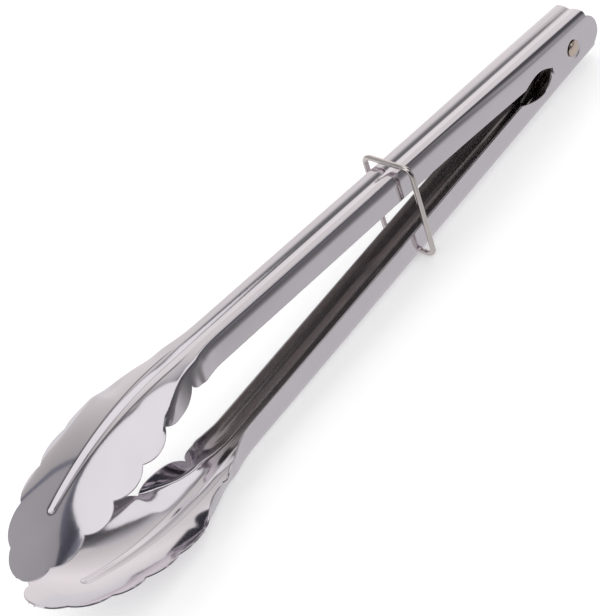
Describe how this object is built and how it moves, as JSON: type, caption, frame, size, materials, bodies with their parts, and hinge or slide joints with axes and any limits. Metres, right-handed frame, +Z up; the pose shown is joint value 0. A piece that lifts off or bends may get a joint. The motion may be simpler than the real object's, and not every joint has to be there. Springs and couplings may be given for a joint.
{
  "type": "locking kitchen tongs",
  "caption": "Long locking kitchen tongs: pressed steel channel arms with dished scalloped claws, turning on a rivet, held by a sliding wire ring.",
  "frame": {"origin": "middle of the box, on the surface that the tongs stand on", "axes": "+X from the pivot to the claws, +Y to the side with the near end of the rivet, +Z up, from the lower arm to the upper arm"},
  "size_m": [0.4012, 0.0496, 0.0722],
  "materials": {
    "arm_steel": "bright polished stainless sheet",
    "rivet_steel": "polished, slightly warm",
    "spring_steel": "drawn spring wire",
    "ring_wire": "bright drawn wire"
  },
  "bodies": {
    "lower": {"lower_arm": "arm_steel", "pivot_rivet": "rivet_steel", "torsion_spring": "spring_steel"},
    "upper": {"upper_arm": "arm_steel"},
    "ring": {"lock_ring": "ring_wire"}
  },
  "joints": [
    {"name": "arm_pivot", "type": "hinge", "parent": "lower", "child": "upper", "pos_m": [-0.18043, 0, 0.01905], "axis": [0, -1, 0], "range_deg": [-2.05, 6.6], "stiffness_Nm_per_rad": 0.8, "springref_deg": 22.92, "deforming": ["torsion_spring"]},
    {"name": "ring_slide", "type": "slide", "parent": "lower", "child": "ring", "axis": [0.9998, 0, -0.0187], "range_m": [-0.1005, 0.0315]}
  ],
  "couplings": [
    {"joint": "ring_slide", "follows": "arm_pivot", "m_per_rad": -0.8696}
  ]
}
